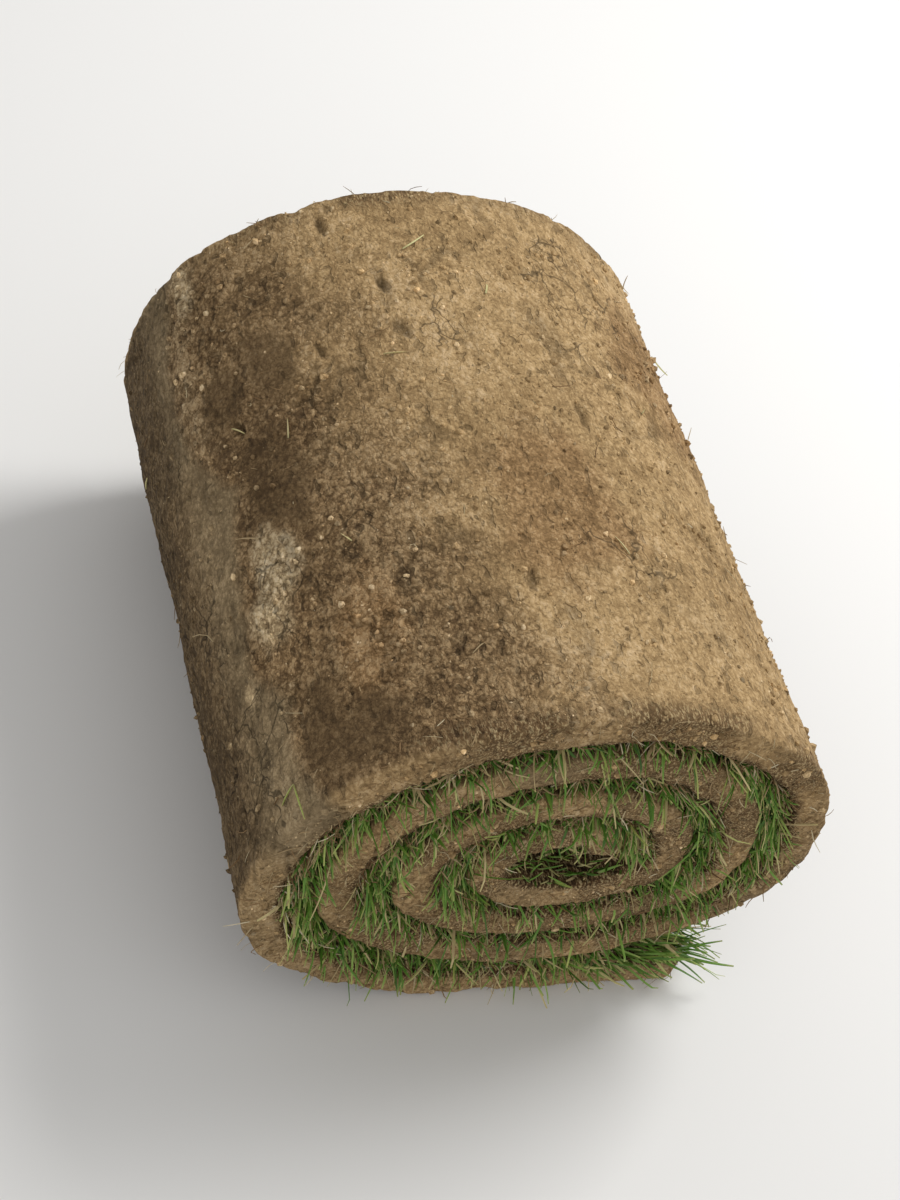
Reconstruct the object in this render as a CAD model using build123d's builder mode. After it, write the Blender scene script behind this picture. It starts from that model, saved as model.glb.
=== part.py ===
"""A roll of cut turf, lying on its side.

One strip of turf, soil outwards and grass inwards, is wound nearly four times round a small open
eye. The soft roll sags under its own weight: its section is an oval that is widest below the
middle, its underside lies flat, and the grass between the turns is pressed thin under the eye and
stands looser at the sides. The strip's outer end lies on the ground under the roll's right side,
grass up.

Frame: the roll's axis is Y and Z is up. The origin is on the ground under the middle of the roll.
The section lies in the XZ plane, and sizes are in millimetres. Seen along +Y, the strip runs from
its outer end on the right, under the roll, up the left side, over the top and on inwards.
"""

import os
from math import acos, atan2, degrees, hypot, sin

from build123d import *

# The strip of turf as it is cut
strip_width = 457.0
soil_thickness = 25.0

# The oval outline of the sagged roll
roll_width = 385.0
roll_height = 306.0
widest_height = 140.0

# Grass pressed between one turn and the next, at the sides and under the roll's first turn
sward_side = 22.0
sward_under = 8.5

# Grass that stands free on the strip's outer end: its height, and how far it hangs past the soil
sward_free = 22.0
sward_overhang = 18.0

# How far the grass stands back from the cut soil at both ends
sward_recess = 18.0

# The strip is wound on inwards as long as its grass side needn't bend tighter than this radius
tightest_bend = 8.0

# Places on the ground, left or right of the middle plane: where the strip leaves the ground, and
# its outer end
lift_off = -15.0
tail_reach = 152.0

# Worn edges: the rims of the cut ends, the corners of the strip's outer end, the free grass there,
# and the one corner of the inner end that stands free in the eye
rim_wear = 4.0
tail_round = 7.0
sward_round = 10.0
inner_end_round = 9.0

# Each quarter turn follows a quarter of an oval. The ovals narrow by the same step, so that each
# whole turn is one soil and one grass thickness inside the last.
QUARTERS_IN_TURN = 4
width_step = (soil_thickness + sward_side) / QUARTERS_IN_TURN
first_half_width = (roll_width + width_step) / 2

# Four kinds of quarter turn, in the order in which the strip takes them: left to top, top to
# right, right to bottom and bottom to left. For each, the way that it leads across and up, the
# side of the section that it lies on, and the way inwards from the soil face where it starts.
LEFT_TO_TOP, TOP_TO_RIGHT, RIGHT_TO_BOTTOM, BOTTOM_TO_LEFT = range(QUARTERS_IN_TURN)
LEADS = ((1, 1), (1, -1), (-1, -1), (-1, 1))
SIDES = ((-1, 1), (1, 1), (1, -1), (-1, -1))
INWARDS = ((1, 0), (0, -1), (-1, 0), (0, 1))

# Height of each kind of oval as a share of its width: the lower ones are flatter
upper_ratio = (roll_height - widest_height) / first_half_width
first_underside = soil_thickness + sward_under
first_right_level = roll_height - upper_ratio * (first_half_width - width_step)
lower_ratio = (first_right_level - first_underside) / (first_half_width - 2 * width_step)


def half_sizes(quarter):
    """Half width and half height of the oval that the strip's soil face follows in a quarter turn."""
    half_width = first_half_width - quarter * width_step
    upper = quarter % QUARTERS_IN_TURN in (LEFT_TO_TOP, TOP_TO_RIGHT)
    return half_width, half_width * (upper_ratio if upper else lower_ratio)


def station(quarter, depth=0.0):
    """Point of the strip where a quarter turn starts, at a depth under its soil face."""
    x, z = -roll_width / 2, widest_height
    for passed in range(quarter):
        half_width, half_height = half_sizes(passed)
        across, up = LEADS[passed % QUARTERS_IN_TURN]
        x += across * half_width
        z += up * half_height
    inwards_x, inwards_z = INWARDS[quarter % QUARTERS_IN_TURN]
    return (x + inwards_x * depth, z + inwards_z * depth)


def quarter_centre(quarter):
    """Centre of a quarter turn's oval: level with its left or right end, in line with its other one."""
    here, there = station(quarter), station(quarter + 1)
    from_side = quarter % QUARTERS_IN_TURN in (LEFT_TO_TOP, RIGHT_TO_BOTTOM)
    return (there[0], here[1]) if from_side else (here[0], there[1])


def arc_radii(half_width, half_height):
    """Radii of the two tangent arcs that make a quarter oval: at its side, and at its top or bottom."""
    diagonal = hypot(half_width, half_height)
    excess = half_width - half_height
    side_radius = diagonal * (diagonal - excess) / (2 * half_width)
    crown_radius = diagonal * (diagonal + excess) / (2 * half_height)
    return side_radius, crown_radius


def grass_side_bend(quarter):
    """Tightest radius that the strip's grass side bends to in a quarter turn."""
    return min(arc_radii(*half_sizes(quarter))) - soil_thickness


def quarter_oval(centre, half_width, half_height, side, depth=0.0):
    """Draws a quarter oval at a depth inside it, as two tangent arcs, and gives its length."""
    across, up = side
    side_radius, crown_radius = arc_radii(half_width, half_height)
    side_span = degrees(atan2(half_width, half_height))
    side_centre = (centre[0] + across * (half_width - side_radius), centre[1])
    crown_centre = (centre[0], centre[1] + up * (half_height - crown_radius))
    side_start = 0.0 if across > 0 else 180.0
    turn = across * up
    side_arc = CenterArc(side_centre, side_radius - depth, side_start, turn * side_span)
    crown_arc = CenterArc(crown_centre, crown_radius - depth, up * 90.0, turn * (side_span - 90.0))
    return side_arc.length + crown_arc.length


def quarter_turn(quarter, depth=0.0):
    """Draws one quarter turn of the strip at a depth under its soil face, and gives its length."""
    side = SIDES[quarter % QUARTERS_IN_TURN]
    return quarter_oval(quarter_centre(quarter), *half_sizes(quarter), side, depth)


def foot(depth=0.0):
    """Draws the strip's rise from the ground to the roll's left side, and gives its length."""
    return quarter_oval(
        (lift_off, widest_height), lift_off + roll_width / 2, widest_height, SIDES[BOTTOM_TO_LEFT], depth
    )


def strip_length():
    """Length of the strip, along the middle of its soil."""
    middle = soil_thickness / 2
    turns = sum(quarter_turn(quarter, middle) for quarter in range(quarter_turns))
    return tail_reach - lift_off + foot(middle) + turns


# Quarter turns from the left side, where the strip has come up from the ground, to its inner end
quarter_turns = 0
while grass_side_bend(quarter_turns) >= tightest_bend:
    quarter_turns += 1

# The free grass of the outer end fills the room under the first turn as far as its own height
# reaches, and hangs over the strip's end down to the middle of the soil
sward_top = soil_thickness + sward_free
sward_reach = tail_reach + sward_overhang
sward_hem = soil_thickness / 2
underside_radius = arc_radii(*half_sizes(RIGHT_TO_BOTTOM))[1]
underside_centre = (station(BOTTOM_TO_LEFT)[0], first_underside + underside_radius)
touch_angle = acos(1 - (sward_top - first_underside) / underside_radius)
touch_x = underside_centre[0] + underside_radius * sin(touch_angle)

# The strip's inner end, and the same side of the turn around it, where the grass between them ends
inner_station = quarter_turns
outer_station = inner_station - QUARTERS_IN_TURN

with BuildPart() as turf_roll:
    # Soil: the whole strip, from its outer end on the ground to its inner end in the eye
    with BuildSketch(Plane.XZ) as soil_section:
        with BuildLine():
            for depth in (0.0, soil_thickness):
                Line((tail_reach, depth), (lift_off, depth))
                foot(depth)
                for quarter in range(quarter_turns):
                    quarter_turn(quarter, depth)
            Line((tail_reach, 0), (tail_reach, soil_thickness))
            Line(station(inner_station), station(inner_station, soil_thickness))
        make_face()
        tip = soil_section.vertices().filter_by_position(Axis.X, tail_reach, tail_reach)
        fillet(tip, tail_round)
        eye_corner = soil_section.vertices().sort_by_distance(station(inner_station, soil_thickness))
        fillet(eye_corner[0], inner_end_round)
    extrude(amount=strip_width / 2, both=True)
    cut_ends = turf_roll.faces().filter_by(Axis.Y)
    chamfer(cut_ends.edges(), rim_wear)

    # Grass: free on the outer end, pressed between the turns, and standing back from the cut ends
    with BuildSketch(Plane.XZ) as sward_section:
        with BuildLine():
            Line((touch_x, sward_top), (sward_reach, sward_top))
            Line((sward_reach, sward_top), (sward_reach, sward_hem))
            Line((sward_reach, sward_hem), (tail_reach - tail_round, sward_hem))
            Line((tail_reach - tail_round, sward_hem), (tail_reach - tail_round, soil_thickness))
            Line((tail_reach - tail_round, soil_thickness), (lift_off, soil_thickness))
            foot(soil_thickness)
            for quarter in range(outer_station):
                quarter_turn(quarter, soil_thickness)
            Line(station(outer_station, soil_thickness), station(inner_station))
            for quarter in range(BOTTOM_TO_LEFT, inner_station):
                quarter_turn(quarter)
            CenterArc(underside_centre, underside_radius, -90.0, degrees(touch_angle))
        make_face()
        fillet(sward_section.vertices().filter_by_position(Axis.X, sward_reach, sward_reach), sward_round)
    extrude(amount=strip_width / 2 - sward_recess, both=True)

turf_roll.part.label = "turf_roll"
print(f"Strip length {strip_length():.0f} mm, solids {len(turf_roll.part.solids())}")

os.makedirs("parts", exist_ok=True)
export_step(turf_roll.part, "parts/turf_roll.step")
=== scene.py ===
"""Looks of a roll of cut turf: crumbly soil, thatch and grass, built around its CAD section.

The strip of turf is described by three coordinates: the distance s along its soil face from the
outer end, y across it, and the depth under its soil face. Every piece is laid out in them and then
wound up, so that soil, thatch and grass follow the same spiral. Lengths are in metres.
"""

import itertools
import math

import bpy
import numpy as np
from mathutils import Matrix, Vector


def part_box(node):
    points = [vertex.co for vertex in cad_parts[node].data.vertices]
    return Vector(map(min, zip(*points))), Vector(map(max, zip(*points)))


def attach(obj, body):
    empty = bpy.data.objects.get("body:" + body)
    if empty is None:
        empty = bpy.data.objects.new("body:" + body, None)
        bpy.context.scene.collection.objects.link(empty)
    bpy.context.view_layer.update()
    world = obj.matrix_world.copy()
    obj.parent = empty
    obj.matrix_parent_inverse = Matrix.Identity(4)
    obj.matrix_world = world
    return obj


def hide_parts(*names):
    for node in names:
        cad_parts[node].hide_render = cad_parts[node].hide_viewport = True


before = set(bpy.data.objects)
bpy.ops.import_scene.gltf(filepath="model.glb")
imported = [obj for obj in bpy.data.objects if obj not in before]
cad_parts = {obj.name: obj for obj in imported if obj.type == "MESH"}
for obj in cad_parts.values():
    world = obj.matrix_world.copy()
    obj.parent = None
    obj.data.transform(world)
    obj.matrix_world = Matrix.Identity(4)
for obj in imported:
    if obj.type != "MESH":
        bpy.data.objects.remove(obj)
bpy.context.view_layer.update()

# The CAD section of the roll: its box, and sizes from its source
ROLL_LOW, ROLL_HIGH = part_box("turf_roll")
ROLL_WIDTH = ROLL_HIGH.x - ROLL_LOW.x
ROLL_HEIGHT = ROLL_HIGH.z
HALF_STRIP = ROLL_HIGH.y
SOIL = 0.025
WIDEST_HEIGHT = 0.140
SWARD_SIDE = 0.022
SWARD_UNDER = 0.0085
SWARD_FREE = 0.022
LIFT_OFF = -0.015
TAIL_REACH = 0.152
QUARTER_TURNS = 14

# Noise: the offset of each call only picks another part of the same pattern

NOISE_GAIN = 1.6
OCTAVE_SHIFT = 17.3
TABLE = 256
FAR_AWAY = 9.0

rng = np.random.default_rng(41)
PERM = rng.permutation(TABLE)
GRADIENTS = rng.normal(size=(TABLE, 3))
GRADIENTS /= np.linalg.norm(GRADIENTS, axis=1)[:, None]
CELL_POINTS = rng.random((TABLE, 3))


def lattice(cell):
    """Pseudo-random number from 0 to 255 for each lattice cell."""
    last = TABLE - 1
    a = PERM[cell[..., 0] & last]
    b = PERM[(a + cell[..., 1]) & last]
    return PERM[(b + cell[..., 2]) & last]


def noise(points, offset=0.0):
    """Smooth gradient noise, about -1 to 1."""
    points = np.asarray(points, float) + offset
    cell = np.floor(points).astype(np.int64)
    inner = points - cell
    fade = inner**3 * (inner * (inner * 6 - 15) + 10)
    total = np.zeros(points.shape[:-1])
    for corner in np.ndindex(2, 2, 2):
        corner = np.array(corner)
        weight = np.where(corner, fade, 1 - fade).prod(-1)
        total += weight * (GRADIENTS[lattice(cell + corner)] * (inner - corner)).sum(-1)
    return total * NOISE_GAIN


def fractal(points, octaves, offset=0.0):
    """Noise summed over octaves, about -1 to 1."""
    return sum(
        noise(np.asarray(points) * 2.0**k, offset + OCTAVE_SHIFT * k) / 2.0**k for k in range(octaves)
    )


def cells(points, offset=0.0):
    """Distances to the nearest and second nearest scattered point, and a number of the nearest."""
    points = np.asarray(points, float) + offset
    cell = np.floor(points).astype(np.int64)
    inner = points - cell
    first = np.full(points.shape[:-1], FAR_AWAY)
    second = first.copy()
    number = np.zeros(points.shape[:-1])
    for corner in np.ndindex(3, 3, 3):
        corner = np.array(corner) - 1
        key = lattice(cell + corner)
        distance = np.linalg.norm(corner + CELL_POINTS[key] - inner, axis=-1)
        nearer = distance < first
        second = np.where(nearer, first, np.minimum(second, distance))
        number = np.where(nearer, key / (TABLE - 1), number)
        first = np.minimum(first, distance)
    return first, second, number


def line(along):
    """Points on a straight line, for noise that changes one way only."""
    return np.stack([along, 0 * along, 0 * along], -1)


def ramp(value, low, high):
    """0 below low, 1 above high, smooth between them."""
    t = np.clip((value - low) / (high - low), 0, 1)
    return t * t * (3 - 2 * t)


# The wound strip

QUARTERS = 4
STEP = (SOIL + SWARD_SIDE) / QUARTERS
HALF_WIDTH = (ROLL_WIDTH + STEP) / 2
UPPER_RATIO = (ROLL_HEIGHT - WIDEST_HEIGHT) / HALF_WIDTH
RIGHT_LEVEL = ROLL_HEIGHT - UPPER_RATIO * (HALF_WIDTH - STEP)
LOWER_RATIO = (RIGHT_LEVEL - SOIL - SWARD_UNDER) / (HALF_WIDTH - 2 * STEP)
TAIL_LENGTH = TAIL_REACH - LIFT_OFF

# Where each kind of quarter turn leads, and the side of the section that it lies on, across and
# up: left to top, top to right, right to bottom and bottom to left
LEADS = ((1, 1), (1, -1), (-1, -1), (-1, 1))
SIDES_OF_SECTION = ((-1, 1), (1, 1), (1, -1), (-1, -1))
BOTTOM_TO_LEFT = 3

# What is stored of each arc
START, LENGTH, CENTRE_X, CENTRE_Z, RADIUS, ANGLE = range(6)
ARCS_IN_QUARTER = 2

# How far the strip wanders sideways, how deep the dents of the whole roll are, the span of each,
# and the height under which the dents fade out
WANDER = 0.0032
WANDER_SPAN = 0.23
DENT = 0.0024
DENT_SPAN = 0.13
DENT_HEIGHT = 0.07


def quarter_arcs(start, centre, half_width, half_height, kind):
    """The two arcs of a quarter oval, in the strip's order."""
    diagonal = math.hypot(half_width, half_height)
    excess = half_width - half_height
    side = diagonal * (diagonal - excess) / (2 * half_width)
    crown = diagonal * (diagonal + excess) / (2 * half_height)
    span = math.atan2(half_width, half_height)
    across, up = SIDES_OF_SECTION[kind]
    arcs = [
        (side, span, centre[0] + across * (half_width - side), centre[1]),
        (crown, math.pi / 2 - span, centre[0], centre[1] + up * (half_height - crown)),
    ]
    if kind % 2:
        arcs.reverse()
    angle = math.pi * (1 - kind / 2)
    rows = []
    for radius, turn, x, z in arcs:
        rows.append((start, radius * turn, x, z, radius, angle))
        start += radius * turn
        angle -= turn
    return rows


def wind_up():
    """All arcs of the strip from the place where it leaves the ground to its inner end."""
    foot_width = LIFT_OFF + ROLL_WIDTH / 2
    foot_centre = (LIFT_OFF, WIDEST_HEIGHT)
    rows = quarter_arcs(TAIL_LENGTH, foot_centre, foot_width, WIDEST_HEIGHT, BOTTOM_TO_LEFT)
    x, z = -ROLL_WIDTH / 2, WIDEST_HEIGHT
    for quarter in range(QUARTER_TURNS):
        kind = quarter % QUARTERS
        width = HALF_WIDTH - quarter * STEP
        height = width * (UPPER_RATIO if kind < 2 else LOWER_RATIO)
        across, up = LEADS[kind]
        there = (x + across * width, z + up * height)
        centre = (there[0], z) if kind % 2 == 0 else (x, there[1])
        rows += quarter_arcs(rows[-1][START] + rows[-1][LENGTH], centre, width, height, kind)
        x, z = there
    return np.array(rows)


ARCS = wind_up()
ARC_STARTS = np.append(ARCS[:, START], ARCS[-1, START] + ARCS[-1, LENGTH])
STRIP_LENGTH = ARC_STARTS[-1]


def quarter_start(quarter):
    """Distance along the strip where a quarter turn starts."""
    return ARC_STARTS[ARCS_IN_QUARTER * (quarter + 1)]


def section(s):
    """Point of the soil face in the section, and the way outwards from it."""
    arc = ARCS[np.clip(np.searchsorted(ARC_STARTS, s, side="right") - 1, 0, len(ARCS) - 1)]
    angle = arc[..., ANGLE] - (s - arc[..., START]) / arc[..., RADIUS]
    outwards = np.stack([np.cos(angle), np.sin(angle)], -1)
    point = arc[..., CENTRE_X : CENTRE_Z + 1] + arc[..., RADIUS, None] * outwards
    on_ground = (s < TAIL_LENGTH)[..., None]
    point = np.where(on_ground, np.stack([TAIL_REACH - s, np.zeros_like(s)], -1), point)
    outwards = np.where(on_ground, (0.0, -1.0), outwards)
    return point, outwards


def strip_ways(s):
    """Way along the strip and way from the soil outwards, in world axes."""
    _, outwards = section(s)
    along = np.stack([outwards[:, 1], 0 * s, -outwards[:, 0]], -1)
    return along, np.stack([outwards[:, 0], 0 * s, outwards[:, 1]], -1)


def settle(points):
    """Soft dents and swellings of the whole roll, none of them at the ground."""
    free = ramp(points[..., 2], 0.0, DENT_HEIGHT)[..., None]
    scaled = points / DENT_SPAN
    push = np.stack([noise(scaled, 31.0), 0 * points[..., 0], noise(scaled, 57.0)], -1)
    return points + DENT * free * push


def wound(s, y, depth):
    """World points of the strip, which was not wound perfectly straight."""
    s, y, depth = np.broadcast_arrays(s, y, depth)
    point, outwards = section(s)
    flat = point - outwards * depth[..., None]
    wander = WANDER * noise(line(s / WANDER_SPAN), 5.7)
    return settle(np.stack([flat[..., 0], y + wander, flat[..., 1]], -1))


# Each place of the strip's grass side, and the place of the soil face that it is pressed against,
# from the last arc before the first turn's bottom on
BOTTOM = quarter_start(BOTTOM_TO_LEFT)
BOTTOM_ARC = ARCS_IN_QUARTER * (BOTTOM_TO_LEFT + 1) - 1
bottom_radius = ARCS[BOTTOM_ARC, RADIUS]
touch_angle = math.acos(1 - (SWARD_FREE - SWARD_UNDER) / bottom_radius)
touch_x = ARCS[BOTTOM_ARC, CENTRE_X] + bottom_radius * math.sin(touch_angle)
OUTER_S = np.concatenate([[TAIL_REACH - touch_x], ARC_STARTS[: -BOTTOM_ARC - 1]])
INNER_S = np.concatenate([[BOTTOM - bottom_radius * touch_angle], ARC_STARTS[BOTTOM_ARC + 1 :]])
TUCK_S = OUTER_S[0]
GAP_END = OUTER_S[-1]


def in_gap(s, share, y):
    """World points between a place of the grass side and the soil face that it is pressed against."""
    s, share, y = np.broadcast_arrays(s, share, y)
    near = wound(s, y, np.full(s.shape, SOIL))
    far = wound(np.interp(s, OUTER_S, INNER_S), y, np.zeros(s.shape))
    return near + (far - near) * share[..., None]


# Meshes


def grid_triangles(rows, columns):
    """Triangles of a grid of points whose columns close to a ring."""
    index = np.arange(rows * columns).reshape(rows, columns)
    beside = np.roll(index, -1, axis=1)
    a, b, c, d = index[:-1], beside[:-1], beside[1:], index[1:]
    return np.concatenate(
        [np.stack([a, b, c], -1).reshape(-1, 3), np.stack([a, c, d], -1).reshape(-1, 3)]
    )


def outwards_first(points, triangles):
    """Turns the triangles over if they enclose a negative volume."""
    a, b, c = (points[triangles[:, k]] for k in range(3))
    return triangles if (a * np.cross(b, c)).sum() > 0 else triangles[:, ::-1]


def placed(name, data):
    """A new object in the scene."""
    thing = bpy.data.objects.new(name, data)
    bpy.context.scene.collection.objects.link(thing)
    return thing


def piece(name, points, triangles, material, slot, smooth, **values):
    """Makes one mesh piece with its per-point values."""
    mesh = bpy.data.meshes.new(name)
    mesh.vertices.add(len(points))
    mesh.vertices.foreach_set("co", np.asarray(points, np.float32).ravel())
    mesh.loops.add(triangles.size)
    mesh.loops.foreach_set("vertex_index", np.asarray(triangles, np.int32).ravel())
    mesh.polygons.add(len(triangles))
    mesh.polygons.foreach_set("loop_start", np.arange(0, triangles.size, 3, dtype=np.int32))
    for key, value in values.items():
        layer = mesh.attributes.new(key, "FLOAT", "POINT")
        layer.data.foreach_set("value", np.asarray(value, np.float32).ravel())
    mesh.update(calc_edges=True)
    mesh.validate()
    mesh.polygons.foreach_set("use_smooth", np.full(len(mesh.polygons), smooth))
    mesh.materials.append(material)
    body = placed(name, mesh)
    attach(body, "root")
    return body


# Materials


class Tree:
    """A node tree under construction. Values are numbers, tuples or node sockets."""

    def __init__(self, tree):
        self.tree = tree

    def put(self, socket, value):
        """Links a socket to another one or sets its value."""
        if isinstance(value, bpy.types.NodeSocket):
            self.tree.links.new(value, socket)
        elif socket.type == "RGBA":
            socket.default_value = (*value, 1.0)
        else:
            socket.default_value = value

    def node(self, kind, out=0, props=None, **inputs):
        """Output of a new node. Its inputs go by name, or by number as _0, _1 and so on."""
        node = self.tree.nodes.new("ShaderNode" + kind)
        for key, value in (props or {}).items():
            setattr(node, key, value)
        for key, value in inputs.items():
            self.put(node.inputs[int(key[1:]) if key[0] == "_" else key], value)
        return node.outputs[out]

    def math(self, operation, a, b):
        return self.node("Math", 0, {"operation": operation}, _0=a, _1=b)

    def plus(self, a, b):
        return self.math("ADD", a, b)

    def times(self, a, b):
        return self.math("MULTIPLY", a, b)

    def most(self, a, b):
        return self.math("MAXIMUM", a, b)

    def rest(self, a):
        """What is left of 1."""
        return self.math("SUBTRACT", 1.0, a)

    def total(self, *terms):
        """Sum of weights times values."""
        result = self.times(*terms[0])
        for term in terms[1:]:
            result = self.plus(result, self.times(*term))
        return result


class Finish(Tree):
    """A principled material."""

    def __init__(self, name, roughness, specular):
        self.material = bpy.data.materials.new(name)
        self.material.use_nodes = True
        super().__init__(self.material.node_tree)
        self.shader = self.tree.nodes["Principled BSDF"]
        self.shader.inputs["Roughness"].default_value = roughness
        self.shader.inputs["Specular IOR Level"].default_value = specular

    def value(self, name):
        """A per-point value of the mesh."""
        return self.node("Attribute", "Fac", {"attribute_name": name})

    def place(self):
        return self.node("TexCoord", "Object")

    def drawn_out(self, share, vector=None):
        """Place whose patterns are drawn out along the roll's axis."""
        return self.node("Mapping", Vector=vector or self.place(), Scale=(1.0, share, 1.0))

    def swayed(self, reach, scale, detail, rough):
        """Place that noise pushes about."""
        push = self.grain(scale, detail, rough).node.outputs["Color"]
        props = {"operation": "MULTIPLY_ADD"}
        return self.node("VectorMath", 0, props, _0=push, _1=(reach,) * 3, _2=self.place())

    def grain(self, scale, detail, rough=0.6, vector=None):
        """Noise of a scale in waves for each metre."""
        place = vector or self.place()
        return self.node("TexNoise", "Fac", Vector=place, Scale=scale, Detail=detail, Roughness=rough)

    def cells(self, scale, vector=None):
        """Scattered cells: how far from a cell's middle, and a random number of each cell."""
        far = self.node("TexVoronoi", "Distance", Vector=vector or self.place(), Scale=scale)
        return far, self.node("SeparateColor", _0=far.node.outputs["Color"])

    def seams(self, scale, vector):
        """Distance from the seams between scattered cells."""
        props = {"feature": "DISTANCE_TO_EDGE"}
        return self.node("TexVoronoi", "Distance", props, Vector=vector, Scale=scale)

    def span(self, value, low, high, new_low=0.0, new_high=1.0):
        """Maps a value smoothly from one range to another, clamped."""
        props = {"interpolation_type": "SMOOTHSTEP"}
        return self.node("MapRange", 0, props, _0=value, _1=low, _2=high, _3=new_low, _4=new_high)

    def mix(self, share, a, b, blend="MIX"):
        return self.node("Mix", 2, {"data_type": "RGBA", "blend_type": blend}, _0=share, _6=a, _7=b)

    def colours(self, value, palette, places=(0.0, 0.5, 1.0)):
        """Colour of a value from 0 to 1 on a ramp."""
        out = self.node("ValToRGB", Fac=value)
        bar = out.node.color_ramp
        while len(bar.elements) < len(palette):
            bar.elements.new(0.5)
        for element, place, colour in zip(bar.elements, places, palette):
            element.position = place
            element.color = (*colour, 1.0)
        return out

    def colour(self, value):
        self.put(self.shader.inputs["Base Color"], value)

    def bump(self, height, distance, strength=1.0):
        normal = self.node("Bump", Height=height, Distance=distance, Strength=strength)
        self.put(self.shader.inputs["Normal"], normal)


# Colours of plain soil and of the kinds that lie over it, painted sunlight among them, from the painted
# shade between the crumbs to their tops
PLAIN_SOIL = ((0.100, 0.060, 0.028), (0.225, 0.143, 0.068), (0.390, 0.268, 0.140))
SOIL_KINDS = {
    # Painted sunlight: paler colours for the top, partly drier soil and partly painted sunlight
    "painted_sunlight": ((0.262, 0.168, 0.076), (0.450, 0.303, 0.146), (0.600, 0.432, 0.246)),
    "warm": ((0.150, 0.086, 0.036), (0.310, 0.187, 0.084), (0.480, 0.320, 0.165)),
    "clay": ((0.120, 0.084, 0.044), (0.245, 0.178, 0.098), (0.380, 0.290, 0.172)),
    "dry": ((0.240, 0.168, 0.088), (0.540, 0.405, 0.232), (0.740, 0.600, 0.395)),
}

# Colours of the root mat, of the thatch's two sides, and of fibres and blades by their tint
MAT_COLOURS = ((0.060, 0.036, 0.018), (0.140, 0.078, 0.034), (0.430, 0.335, 0.180))
MAT_PLACES = (0.0, 0.55, 1.0)
THATCH_ROOTS = ((0.035, 0.020, 0.010), (0.120, 0.070, 0.032), (0.340, 0.240, 0.120))
THATCH_BLADES = ((0.012, 0.022, 0.005), (0.050, 0.090, 0.018), (0.180, 0.230, 0.070))
FIBRE_COLOURS = (
    (0.110, 0.058, 0.025),
    (0.240, 0.145, 0.065),
    (0.430, 0.330, 0.180),
    (0.640, 0.560, 0.380),
)
FIBRE_PLACES = (0.0, 0.4, 0.7, 1.0)
BLADE_COLOURS = (
    (0.036, 0.095, 0.010),
    (0.095, 0.215, 0.020),
    (0.205, 0.350, 0.060),
    (0.400, 0.460, 0.120),
    (0.560, 0.460, 0.230),
    (0.270, 0.165, 0.075),
)
BLADE_PLACES = (0.0, 0.25, 0.46, 0.62, 0.8, 1.0)
BLADE_BASE = (0.330, 0.290, 0.130)
BLADE_TIP = (0.480, 0.420, 0.160)


def crust_crack_shade(f):
    """Thin jagged cracks where the crust has dried, as painted shade: dark lines without relief."""
    place = f.drawn_out(0.50, f.swayed(0.020, 60.0, 2.0, 0.6))
    broken = f.plus(f.grain(11.0, 2.0), f.times(f.value("cracked"), 0.30))
    wide = f.times(f.span(f.seams(42.0, place), 0.036, 0.008), f.span(broken, 0.60, 0.68))
    thin = f.times(f.span(f.seams(100.0, place), 0.055, 0.012), f.span(broken, 0.66, 0.78))
    return f.most(wide, f.times(thin, 0.70))


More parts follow.
